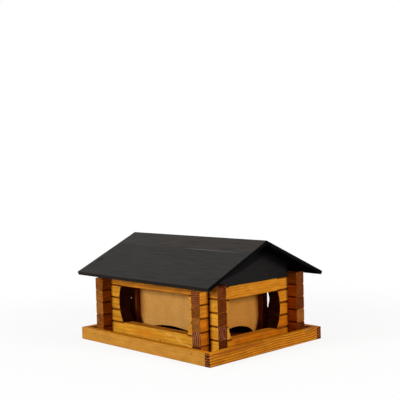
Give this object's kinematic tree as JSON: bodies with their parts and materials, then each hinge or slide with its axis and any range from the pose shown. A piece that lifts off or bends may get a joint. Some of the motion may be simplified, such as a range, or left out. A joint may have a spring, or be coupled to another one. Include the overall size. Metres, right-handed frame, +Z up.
{
  "type": "bird feeder",
  "caption": "Log-cabin bird feeder: a rimmed tray, notched log walls with bowed windows, a seed hopper with arched feet and a black boarded gable roof.",
  "frame": {"origin": "on the ground under the middle of the tray", "axes": "+X along the eaves, +Y from the front eave to the back one, +Z up"},
  "size_m": [0.313, 0.258, 0.1703],
  "materials": {
    "stained_pine": "honey-coloured stain under a satin varnish",
    "black_boards": "matt charcoal-black stain with the grain showing faintly",
    "hardboard": "bare hardboard, matt, finely mottled"
  },
  "bodies": {
    "root": {"tray_floor": "stained_pine", "rim_front": "stained_pine", "rim_back": "stained_pine", "rim_left": "stained_pine", "rim_right": "stained_pine", "front_bottom_log": "stained_pine", "front_stubs_low": "stained_pine", "front_stubs_mid": "stained_pine", "front_stubs_high": "stained_pine", "front_top_log": "stained_pine", "back_bottom_log": "stained_pine", "back_stubs_low": "stained_pine", "back_stubs_mid": "stained_pine", "back_stubs_high": "stained_pine", "back_top_log": "stained_pine", "left_bottom_log": "stained_pine", "left_stubs_low": "stained_pine", "left_stubs_mid": "stained_pine", "left_stubs_high": "stained_pine", "left_top_log": "stained_pine", "right_bottom_log": "stained_pine", "right_stubs_low": "stained_pine", "right_stubs_mid": "stained_pine", "right_stubs_high": "stained_pine", "right_top_log": "stained_pine", "gable_board_left": "black_boards", "gable_board_right": "black_boards", "roof_front_upper": "black_boards", "roof_front_lower": "black_boards", "roof_back_upper": "black_boards", "roof_back_lower": "black_boards", "post_front_left": "stained_pine", "post_front_right": "stained_pine", "post_back_left": "stained_pine", "post_back_right": "stained_pine", "panel_front": "hardboard", "panel_back": "hardboard", "panel_left": "hardboard", "panel_right": "hardboard"}
  },
  "joints": []
}
